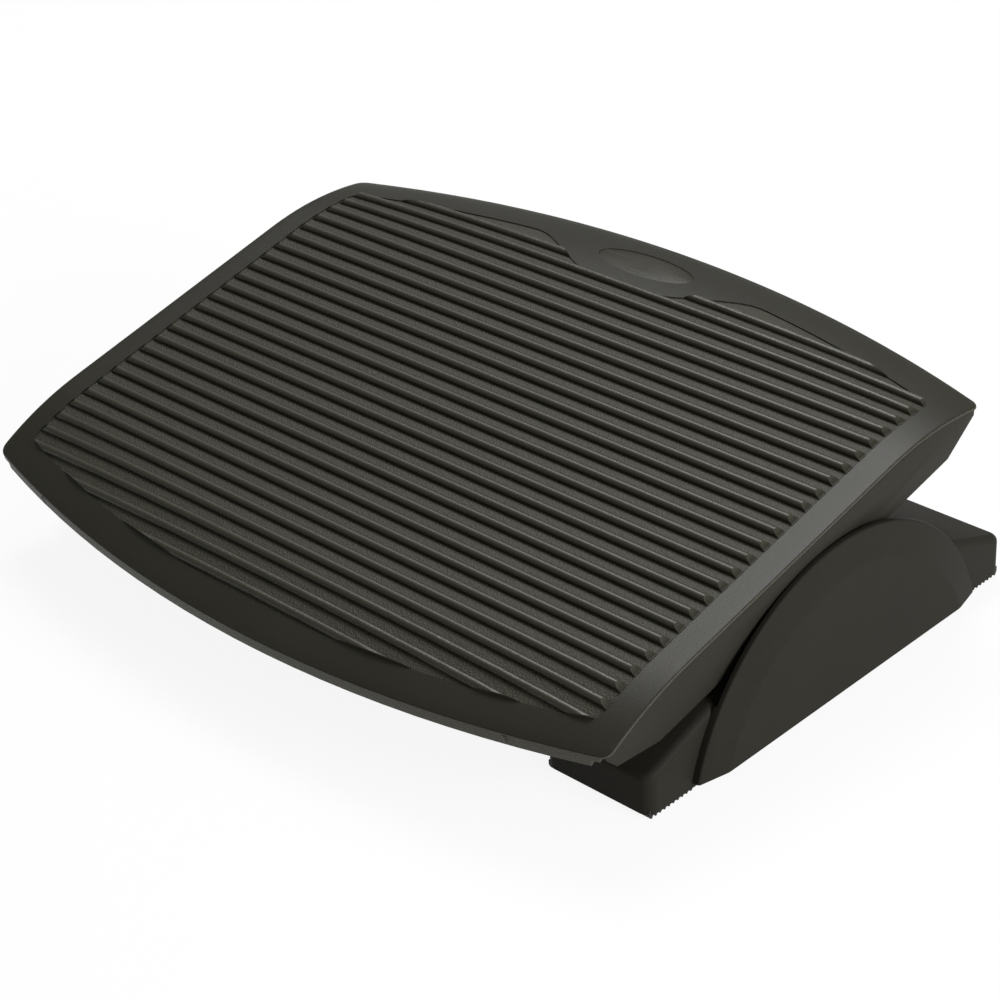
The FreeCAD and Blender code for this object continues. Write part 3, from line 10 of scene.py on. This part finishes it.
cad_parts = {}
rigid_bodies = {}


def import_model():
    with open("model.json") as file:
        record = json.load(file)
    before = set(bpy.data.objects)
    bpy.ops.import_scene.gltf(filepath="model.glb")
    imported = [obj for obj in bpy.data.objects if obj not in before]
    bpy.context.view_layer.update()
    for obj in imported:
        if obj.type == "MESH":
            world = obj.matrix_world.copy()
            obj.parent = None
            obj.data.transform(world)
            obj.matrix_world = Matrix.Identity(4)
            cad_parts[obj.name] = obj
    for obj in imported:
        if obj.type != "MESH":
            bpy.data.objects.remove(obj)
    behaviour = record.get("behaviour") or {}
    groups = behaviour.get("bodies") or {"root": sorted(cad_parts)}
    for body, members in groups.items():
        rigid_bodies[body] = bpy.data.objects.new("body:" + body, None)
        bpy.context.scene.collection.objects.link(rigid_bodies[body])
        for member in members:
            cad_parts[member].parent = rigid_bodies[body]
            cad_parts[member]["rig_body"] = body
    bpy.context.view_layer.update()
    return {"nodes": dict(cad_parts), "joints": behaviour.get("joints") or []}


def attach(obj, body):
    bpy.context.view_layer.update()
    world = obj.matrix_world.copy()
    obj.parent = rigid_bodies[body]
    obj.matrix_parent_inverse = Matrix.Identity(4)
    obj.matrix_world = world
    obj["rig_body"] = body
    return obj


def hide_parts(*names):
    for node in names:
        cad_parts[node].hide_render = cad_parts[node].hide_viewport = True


bl_info = {
    "name": "Tilting footrest",
    "version": (1, 0, 0),
    "blender": (4, 2, 0),
    "location": "3D View > Sidebar > Footrest",
    "description": "Dresses the footrest's parts in moulded plastic, rubber and plated steel",
    "category": "Object",
}

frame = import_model()

# Sizes of the tread, in metres, measured in the deck's own plane from its middle
TILT = math.radians(13)
PIVOT_SETBACK = 0.032
PIVOT_DROP = 0.0303
DECK_HALF_WIDTH = 0.226
FRONT_EDGE = 0.173
REAR_EDGE = 0.181
EDGE_ARC_RADIUS = 0.820
ROLL_RADIUS = 0.176
FRONT_ROLL_WIDTH = 0.058
REAR_ROLL_WIDTH = 0.069
RECESS_DEPTH = 0.0007

# Where a rib's crown begins over the rolled surface, and how softly; there the rib is painted paler as a
# painted highlight
CROWN_HEIGHT = 0.0012
CROWN_BLUR = 0.0016

# How strongly the dark plastics mirror their surroundings
TREAD_SPECULAR = 0.25
FRAME_SPECULAR = 0.04

# How much paler the rails are painted than the covers and bearers: painted light that lifts the rails out of
# the covers' shade
RAIL_PAINTED_LIGHT = 1.3

# Faces that meet at less than these angles are shaded as one
SMOOTH_ANGLE = math.radians(32)
COVER_SMOOTH_ANGLE = math.radians(25)

PIVOT = Vector([j for j in frame["joints"] if j["name"] == "platform_tilt"][0]["pos_m"])

# The camera's place, the point it looks at and its roll, as the photograph was taken
CAMERA_PLACE = Vector((0.9097, -0.8770, 0.7854))
CAMERA_AIM = Vector((0.0512, -0.0298, 0.0750))
CAMERA_ROLL = math.radians(-3.21)
CAMERA_LENS = 98.1

# The lamps' places and widths, and the point they are turned to
LAMP_AIM = Vector((0, 0, 0.08))
KEY_LAMP_PLACE = Vector((-0.7, 0.78, 1.87))
SIDE_LAMP_PLACE = Vector((1.9, 0.1, 0.75))
LAMP_WIDTH = 1.0

# How much of the floor is plain white to the camera
FLOOR_WHITE = 0.9


class Signal:
    """A number or a colour inside a material. Maths on it adds nodes to the material."""

    def __init__(self, finish, socket):
        self.finish = finish
        self.socket = socket

    def maths(self, operation, *others, clamp=False):
        values = dict(enumerate((self,) + others))
        return self.finish.node("ShaderNodeMath", values, operation=operation, use_clamp=clamp)

    def __add__(self, other):
        return self.maths("ADD", other)

    __radd__ = __add__

    def __mul__(self, other):
        return self.maths("MULTIPLY", other)

    __rmul__ = __mul__

    def __sub__(self, other):
        return self.maths("SUBTRACT", other)

    def __rsub__(self, other):
        return self * -1 + other

    def __truediv__(self, other):
        return self.maths("DIVIDE", other)

    def above(self, limit, blur):
        """0 below a limit and 1 above it, with a soft change as wide as blur."""
        return self.maths("SUBTRACT", limit - blur / 2).maths("DIVIDE", blur, clamp=True)

    def root(self):
        return self.maths("SQRT")


class Finish:
    """A material under construction: its shader, its coordinates and the nodes that vary it."""

    def __init__(self, name, colour, roughness, metallic=0.0, coat=0.0, specular=0.5):
        self.material = bpy.data.materials.new(name)
        self.material.use_nodes = True
        self.tree = self.material.node_tree
        self.shader = self.tree.nodes["Principled BSDF"]
        self.shader.inputs["Base Color"].default_value = (*colour, 1)
        self.shader.inputs["Roughness"].default_value = roughness
        self.shader.inputs["Metallic"].default_value = metallic
        self.shader.inputs["Coat Weight"].default_value = coat
        self.shader.inputs["Specular IOR Level"].default_value = specular
        place = self.tree.nodes.new("ShaderNodeTexCoord")
        self.place = Signal(self, place.outputs["Object"])

    def node(self, kind, values, output=0, **settings):
        """Add a node: its settings first, then the values or links of its sockets."""
        node = self.tree.nodes.new(kind)
        for name, setting in settings.items():
            if name == "stops":
                self.set_stops(node.color_ramp, setting)
            else:
                setattr(node, name, setting)
        for name, value in values.items():
            socket = node.inputs[name]
            if isinstance(value, Signal):
                self.tree.links.new(value.socket, socket)
            else:
                socket.default_value = value
        return Signal(self, node.outputs[output])

    @staticmethod
    def set_stops(ramp, stops):
        first, last = ramp.elements[0], ramp.elements[1]
        first.position, first.color = stops[0][0], (*stops[0][1], 1)
        last.position, last.color = stops[-1][0], (*stops[-1][1], 1)
        for position, colour in stops[1:-1]:
            ramp.elements.new(position).color = (*colour, 1)

    def feed(self, **signals):
        for name, signal in signals.items():
            self.tree.links.new(signal.socket, self.shader.inputs[name.replace("_", " ")])

    def whiten(self, share):
        """Let the camera, gloss and clear pieces see a share of plain white in this surface."""
        rays = "ShaderNodeLightPath"
        glossy_or_through = self.node(rays, {}, output=3).maths("MAXIMUM", self.node(rays, {}, output=6))
        seen = self.node(rays, {}).maths("MAXIMUM", glossy_or_through)
        white = self.node("ShaderNodeEmission", {"Color": (1, 1, 1, 1), "Strength": 1.0})
        shaders = {0: seen * share, 1: Signal(self, self.shader.outputs[0]), 2: white}
        mixed = self.node("ShaderNodeMixShader", shaders)
        self.tree.links.new(mixed.socket, self.tree.nodes["Material Output"].inputs["Surface"])

    def axes(self):
        """The X, Y and Z of the object's own coordinates."""
        return [self.node("ShaderNodeSeparateXYZ", {0: self.place}, output=axis) for axis in range(3)]

    def noise(self, size, detail=2.0, roughness=0.5, place=None):
        """Cloudy noise whose blotches are about as large as size."""
        values = {"Vector": place or self.place, "Scale": 1 / size, "Detail": detail, "Roughness": roughness}
        return self.node("ShaderNodeTexNoise", values)

    def grains(self, size, place=None):
        """Rounded grains about as large as size: 0 in a grain's middle."""
        values = {"Vector": place or self.place, "Scale": 1 / size}
        return self.node("ShaderNodeTexVoronoi", values)

    def mix(self, factor, first, second):
        """One colour going over into another."""
        values = {"Factor": factor, 6: first, 7: second}
        return self.node("ShaderNodeMix", values, output=2, data_type="RGBA")

    def bump(self, height, depth, strength=1.0):
        values = {"Height": height, "Distance": depth, "Strength": strength}
        return self.node("ShaderNodeBump", values)


def shade(colour, factor):
    return tuple(channel * factor for channel in colour)


def opaque(colour):
    return (*colour, 1.0)


def deck_level(finish):
    """How high a point lies over the deck's rolled surface."""
    across, along, up = finish.axes()
    behind = along - PIVOT.y
    over = up - PIVOT.z
    ahead = behind * math.cos(TILT) + over * math.sin(TILT) + PIVOT_SETBACK
    height = over * math.cos(TILT) - behind * math.sin(TILT) - PIVOT_DROP

    def drop(distance, roll_width):
        """How far the band has rolled down at a distance from its edge arc's centre."""
        beyond = (distance - (EDGE_ARC_RADIUS - roll_width)).maths("MAXIMUM", 0.0)
        return ROLL_RADIUS - (ROLL_RADIUS**2 - beyond * beyond).root()

    squared = across * across
    to_front = (EDGE_ARC_RADIUS - FRONT_EDGE) - ahead
    to_rear = ahead + (EDGE_ARC_RADIUS - REAR_EDGE)
    front = drop((squared + to_front * to_front).root(), FRONT_ROLL_WIDTH)
    rear = drop((squared + to_rear * to_rear).root(), REAR_ROLL_WIDTH)
    return height + front.maths("MAXIMUM", rear)


def moulded_plastic(name, colour, grain_size, grain_depth, roughness):
    """Dark injection-moulded plastic with an even eroded grain and faint clouding."""
    finish = Finish(name, colour, roughness, specular=FRAME_SPECULAR)
    clouds = finish.noise(0.055, detail=3)
    grain = finish.grains(grain_size)
    speckle = finish.noise(grain_size * 1.7, detail=4, roughness=0.65)
    tone = clouds * 0.4 + speckle * 0.6
    finish.feed(
        Base_Color=finish.mix(tone, opaque(shade(colour, 0.7)), opaque(shade(colour, 1.3))),
        Roughness=clouds * 0.08 + speckle * 0.12 + (roughness - 0.1),
        Normal=finish.bump(grain * 0.6 + speckle * 0.6, grain_depth),
    )
    return finish.material


def tread_plastic(colour):
    """The deck's plastic: satin on frame and ribs, with a coarse matt grain on the floor between ribs."""
    finish = Finish("tread_plastic", colour, 0.42, specular=TREAD_SPECULAR)
    finish.shader.inputs["Coat Roughness"].default_value = 0.44
    level = deck_level(finish)
    on_floor = 1 - level.above(-RECESS_DEPTH / 2, 0.0002)
    on_crown = level.above(CROWN_HEIGHT, CROWN_BLUR)
    clouds = finish.noise(0.06, detail=3)
    fine = finish.noise(0.0007, detail=3, roughness=0.6)
    pits = finish.grains(0.00095)
    blotches = finish.noise(0.0019, detail=3, roughness=0.7)
    floor_grain = pits * 1.5 + blotches * 1.5
    height = fine * (1 - on_floor) * 0.35 + floor_grain * on_floor
    body = finish.mix(clouds * 0.6 + fine * 0.4, opaque(shade(colour, 0.85)), opaque(shade(colour, 1.15)))
    # Rib crowns are painted paler: a painted highlight along the ribs' tops
    painted_crown_highlight = finish.mix(on_crown, body, opaque(shade(colour, 1.7)))
    # The floor between ribs is painted paler in blotches: partly the grained floor's own greyer tone, partly
    # a painted sheen for the light it catches
    grain_and_painted_sheen = finish.mix(on_floor * (blotches * 0.9 + 0.1), painted_crown_highlight, opaque(shade(colour, 2.4)))
    finish.feed(
        Base_Color=grain_and_painted_sheen,
        Roughness=clouds * 0.06 + on_floor * 0.14 - on_crown * 0.04 + 0.38,
        Coat_Weight=on_floor * 0.14 + on_crown * 0.3,
        Normal=finish.bump(height, 0.0002),
    )
    return finish.material


def foot_rubber(colour):
    """Soft black rubber with a dry bloom and fine scuffs."""
    finish = Finish("foot_rubber", colour, 0.75, specular=0.2)
    scuffs = finish.noise(0.004, detail=5, roughness=0.7)
    fine = finish.noise(0.0006, detail=2)
    finish.feed(
        Base_Color=finish.mix(scuffs, opaque(colour), opaque(shade(colour, 1.8))),
        Roughness=scuffs * 0.2 + 0.62,
        Normal=finish.bump(fine + scuffs * 0.5, 0.00006),
    )
    return finish.material


def plated_steel(name, colour, mark_size):
    """Zinc-plated steel with fine tool marks and a faint blush."""
    finish = Finish(name, colour, 0.32, metallic=1.0)
    marks = finish.node("ShaderNodeTexNoise", {"Vector": finish.place, "Scale": 1 / mark_size, "Detail": 4.0})
    blush = finish.noise(0.01, detail=3)
    finish.feed(
        Base_Color=finish.mix(blush, opaque(shade(colour, 0.85)), opaque(colour)),
        Roughness=marks * 0.18 + 0.22,
        Normal=finish.bump(marks, 0.00002),
    )
    return finish.material


def powder_coat(colour):
    """Satin powder coat with its slight orange peel."""
    finish = Finish("powder_coat", colour, 0.38, coat=0.15)
    peel = finish.noise(0.0016, detail=2)
    clouds = finish.noise(0.03)
    finish.feed(
        Base_Color=finish.mix(clouds, opaque(colour), opaque(shade(colour, 1.2))),
        Roughness=clouds * 0.1 + 0.33,
        Normal=finish.bump(peel, 0.00008),
    )
    return finish.material


def pressed_fibre(colour):
    finish = Finish("pressed_fibre", colour, 0.8)
    flecks = finish.noise(0.0012, detail=5, roughness=0.8)
    finish.feed(
        Base_Color=finish.mix(flecks, opaque(shade(colour, 0.6)), opaque(shade(colour, 1.4))),
        Roughness=flecks * 0.2 + 0.7,
        Normal=finish.bump(flecks, 0.00005),
    )
    return finish.material


def bearing_plastic(colour):
    finish = Finish("bearing_plastic", colour, 0.35)
    clouds = finish.noise(0.006, detail=3)
    finish.feed(
        Base_Color=finish.mix(clouds, opaque(shade(colour, 0.92)), opaque(colour)),
        Roughness=clouds * 0.12 + 0.3,
        Normal=finish.bump(finish.noise(0.0008), 0.00002),
    )
    return finish.material


def dress(piece, material):
    """Give a piece one material in place of those it has."""
    piece.data.materials.clear()
    piece.data.materials.append(material)


def dress_node(name, material):
    """Give a CAD node that stays a better material, on the object and not on its mesh."""
    node = frame["nodes"][name]
    for slot in node.material_slots:
        slot.link = "OBJECT"
        slot.material = material


def alone(piece):
    """Select one piece and nothing else, and make it active."""
    bpy.ops.object.select_all(action="DESELECT")
    piece.select_set(True)
    bpy.context.view_layer.objects.active = piece


def finished_copy(node_name, piece_name, edge, smooth_angle):
    """A merged, smooth copy of a CAD node with fine rounded edges, which stands for the node."""
    node = frame["nodes"][node_name]
    mesh = node.data.copy()
    piece = bpy.data.objects.new(piece_name, mesh)
    bpy.context.scene.collection.objects.link(piece)
    alone(piece)
    bpy.ops.object.mode_set(mode="EDIT")
    bpy.ops.mesh.select_all(action="SELECT")
    bpy.ops.mesh.remove_doubles(threshold=0.000002)
    bpy.ops.mesh.customdata_custom_splitnormals_clear()
    if edge > 0:
        bpy.ops.mesh.dissolve_limited(angle_limit=math.radians(0.5))
    bpy.ops.mesh.select_all(action="DESELECT")
    bpy.ops.object.mode_set(mode="OBJECT")
    if edge > 0:
        rounding = piece.modifiers.new("edge_rounding", "BEVEL")
        rounding.width = edge
        rounding.segments = 2
        rounding.limit_method = "ANGLE"
        rounding.angle_limit = math.radians(38)
        rounding.use_clamp_overlap = True
        rounding.harden_normals = False
        bpy.ops.object.modifier_apply(modifier=rounding.name)
    bpy.ops.object.shade_smooth_by_angle(angle=smooth_angle)
    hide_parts(node_name)
    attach(piece, node["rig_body"])
    return piece


class PlasticSettings(bpy.types.PropertyGroup):
    """Colours and grain of the plastic mouldings."""

    deck_colour: FloatVectorProperty(
        name="Deck colour",
        description="Base colour of the tread deck",
        subtype="COLOR",
        size=3,
        min=0,
        max=1,
        default=(0.0185, 0.0175, 0.0108),
    )
    frame_colour: FloatVectorProperty(
        name="Frame colour",
        description="Base colour of rails, covers and bearers",
        subtype="COLOR",
        size=3,
        min=0,
        max=1,
        default=(0.0190, 0.0179, 0.0141),
    )
    grain_size: FloatProperty(
        name="Grain size",
        description="Width of one grain of the eroded surface",
        subtype="DISTANCE",
        unit="LENGTH",
        default=0.0009,
    )
    edge_rounding: FloatProperty(
        name="Edge rounding",
        description="Width of the fine rounding along a moulding's edges",
        subtype="DISTANCE",
        unit="LENGTH",
        default=0.0004,
    )


class HardwareSettings(bpy.types.PropertyGroup):
    """Colours of rubber, steel and bearing pieces."""

    rubber_colour: FloatVectorProperty(
        name="Rubber colour",
        description="Base colour of the feet",
        subtype="COLOR",
        size=3,
        min=0,
        max=1,
        default=(0.014, 0.014, 0.013),
    )
    steel_colour: FloatVectorProperty(
        name="Steel colour",
        description="Colour of plated screws, pins and nuts",
        subtype="COLOR",
        size=3,
        min=0,
        max=1,
        default=(0.56, 0.56, 0.55),
    )


class StageSettings(bpy.types.PropertyGroup):
    """Light and floor."""

    world_level: FloatProperty(
        name="Surround level",
        description="Strength of the even light from all round",
        min=0,
        max=2,
        default=0.27,
    )
    key_level: FloatProperty(
        name="Key lamp",
        description="Power of the large lamp over the deck",
        min=0,
        subtype="POWER",
        unit="POWER",
        default=29,
    )
    side_level: FloatProperty(
        name="Side lamp",
        description="Power of the lamp beside the right cover",
        min=0,
        subtype="POWER",
        unit="POWER",
        default=40,
    )


class FOOTREST_OT_deck(bpy.types.Operator):
    """Dress the tread deck and its blank oval badge"""

    bl_idname = "footrest.deck"
    bl_label = "Tread deck"

    def execute(self, context):
        settings = context.scene.footrest_plastic
        material = tread_plastic(settings.deck_colour)
        deck = finished_copy("platform_top", "tread_deck", 0, SMOOTH_ANGLE)
        dress(deck, material)
        badge = finished_copy("badge_inlay", "oval_badge", settings.edge_rounding / 2, SMOOTH_ANGLE)
        dress(badge, material)
        return {"FINISHED"}


class FOOTREST_OT_rails(bpy.types.Operator):
    """Dress both side rails"""

    bl_idname = "footrest.rails"
    bl_label = "Side rails"

    def execute(self, context):
        settings = context.scene.footrest_plastic
        # The rails take the frame colour painted paler, as painted light against the shade of the covers
        colour = shade(settings.frame_colour, RAIL_PAINTED_LIGHT)
        material = moulded_plastic("rail_plastic", colour, settings.grain_size, 0.00003, 0.6)
        rounding = settings.edge_rounding * 1.5
        for side in ("left", "right"):
            rail = finished_copy("side_rail_" + side, "skirt_" + side, rounding, SMOOTH_ANGLE)
            dress(rail, material)
        return {"FINISHED"}


class FOOTREST_OT_base(bpy.types.Operator):
    """Dress the floor bearers and the half-round covers"""

    bl_idname = "footrest.base"
    bl_label = "Base mouldings"

    def execute(self, context):
        settings = context.scene.footrest_plastic
        colour = settings.frame_colour
        bearer_material = moulded_plastic("bearer_plastic", colour, settings.grain_size, 0.00005, 0.5)
        cover_material = moulded_plastic("cover_plastic", colour, settings.grain_size * 1.2, 0.00006, 0.52)
        for side in ("left", "right"):
            bearer = finished_copy("base_bearer_" + side, "bearer_" + side, 0, SMOOTH_ANGLE)
            dress(bearer, bearer_material)
            cover = finished_copy("side_cover_" + side, "half_cover_" + side, 0, COVER_SMOOTH_ANGLE)
            dress(cover, cover_material)
        return {"FINISHED"}


class FOOTREST_OT_feet(bpy.types.Operator):
    """Dress the toothed rubber feet"""

    bl_idname = "footrest.feet"
    bl_label = "Rubber feet"

    def execute(self, context):
        material = foot_rubber(context.scene.footrest_hardware.rubber_colour)
        for end in ("front", "rear"):
            for side in ("left", "right"):
                dress_node("foot_%s_%s" % (end, side), material)
        return {"FINISHED"}


class FOOTREST_OT_hardware(bpy.types.Operator):
    """Dress tubes, pins, washers, nuts, bushes and screws"""

    bl_idname = "footrest.hardware"
    bl_label = "Tubes and fasteners"

    def execute(self, context):
        settings = context.scene.footrest_hardware
        steel = plated_steel("plated_steel", settings.steel_colour, 0.0006)
        coat = powder_coat((0.022, 0.022, 0.021))
        fibre = pressed_fibre((0.30, 0.12, 0.06))
        bush = bearing_plastic((0.72, 0.71, 0.66))
        for end in ("front", "rear"):
            tube = finished_copy("cross_tube_" + end, "tube_" + end, 0, SMOOTH_ANGLE)
            dress(tube, coat)
        for side in ("left", "right"):
            for name in ("pivot_pin_", "spring_washer_", "lock_nut_"):
                dress_node(name + side, steel)
            dress_node("friction_washer_" + side, fibre)
            dress_node("pivot_bush_" + side, bush)
        for name in ("rail_screws", "cover_screws", "tube_screws"):
            dress_node(name, steel)
        return {"FINISHED"}


def softbox(name, place, power):
    """A square studio lamp at a place, turned to the footrest."""
    lamp = bpy.data.lights.new(name, "AREA")
    lamp.shape = "SQUARE"
    lamp.size = LAMP_WIDTH
    lamp.energy = power
    holder = bpy.data.objects.new(name, lamp)
    bpy.context.scene.collection.objects.link(holder)
    holder.location = place
    holder.rotation_euler = (LAMP_AIM - place).to_track_quat("-Z", "Y").to_euler()


class FOOTREST_OT_stage(bpy.types.Operator):
    """Set up the pale floor, the soft lamps and the camera"""

    bl_idname = "footrest.stage"
    bl_label = "Floor, light and camera"

    def execute(self, context):
        scene = context.scene
        scene.view_settings.view_transform = "Standard"
        settings = scene.footrest_stage
        self.light_world(scene, settings.world_level)
        self.lay_floor()
        softbox("key_lamp", KEY_LAMP_PLACE, settings.key_level)
        softbox("side_lamp", SIDE_LAMP_PLACE, settings.side_level)
        self.place_camera(scene)
        return {"FINISHED"}

    @staticmethod
    def light_world(scene, level):
        """An even white surround at one level."""
        world = bpy.data.worlds.new("surround")
        scene.world = world
        world.use_nodes = True
        background = world.node_tree.nodes["Background"]
        background.inputs["Color"].default_value = (1, 1, 1, 1)
        background.inputs["Strength"].default_value = level

    @staticmethod
    def lay_floor():
        bpy.ops.object.select_all(action="DESELECT")
        bpy.ops.mesh.primitive_plane_add(size=30, location=(0, 0, -0.0002))
        floor = bpy.context.object
        floor.name = "floor"
        finish = Finish("pale_floor", (0.92, 0.92, 0.92), 0.9, specular=0.0)
        finish.whiten(FLOOR_WHITE)
        dress(floor, finish.material)

    @staticmethod
    def place_camera(scene):
        camera = bpy.data.cameras.new("camera")
        camera.lens = CAMERA_LENS
        camera.sensor_width = 36
        holder = bpy.data.objects.new("camera", camera)
        scene.collection.objects.link(holder)
        turn = (CAMERA_AIM - CAMERA_PLACE).to_track_quat("-Z", "Y").to_matrix().to_4x4()
        holder.matrix_world = Matrix.Translation(CAMERA_PLACE) @ turn @ Matrix.Rotation(CAMERA_ROLL, 4, "Z")
        scene.camera = holder


class FOOTREST_PT_panel(bpy.types.Panel):
    """Lists the steps that dress the footrest"""

    bl_label = "Footrest"
    bl_idname = "FOOTREST_PT_panel"
    bl_space_type = "VIEW_3D"
    bl_region_type = "UI"
    bl_category = "Footrest"

    def draw(self, context):
        layout = self.layout
        scene = context.scene
        for group in (scene.footrest_plastic, scene.footrest_hardware, scene.footrest_stage):
            column = layout.column(align=True)
            for name in group.bl_rna.properties.keys():
                if name not in ("rna_type", "name"):
                    column.prop(group, name)
        for operator in OPERATORS:
            layout.operator(operator.bl_idname)


OPERATORS = (
    FOOTREST_OT_deck,
    FOOTREST_OT_rails,
    FOOTREST_OT_base,
    FOOTREST_OT_feet,
    FOOTREST_OT_hardware,
    FOOTREST_OT_stage,
)
SETTINGS = {
    "footrest_plastic": PlasticSettings,
    "footrest_hardware": HardwareSettings,
    "footrest_stage": StageSettings,
}


def register():
    for group in SETTINGS.values():
        bpy.utils.register_class(group)
    for name, group in SETTINGS.items():
        setattr(bpy.types.Scene, name, PointerProperty(type=group))
    for operator in OPERATORS:
        bpy.utils.register_class(operator)
    bpy.utils.register_class(FOOTREST_PT_panel)


def unregister():
    bpy.utils.unregister_class(FOOTREST_PT_panel)
    for operator in reversed(OPERATORS):
        bpy.utils.unregister_class(operator)
    for name in SETTINGS:
        delattr(bpy.types.Scene, name)
    for group in reversed(list(SETTINGS.values())):
        bpy.utils.unregister_class(group)


def main():
    register()
    bpy.ops.footrest.stage()
    bpy.ops.footrest.deck()
    bpy.ops.footrest.rails()
    bpy.ops.footrest.base()
    bpy.ops.footrest.feet()
    bpy.ops.footrest.hardware()


if __name__ == "__main__":
    main()
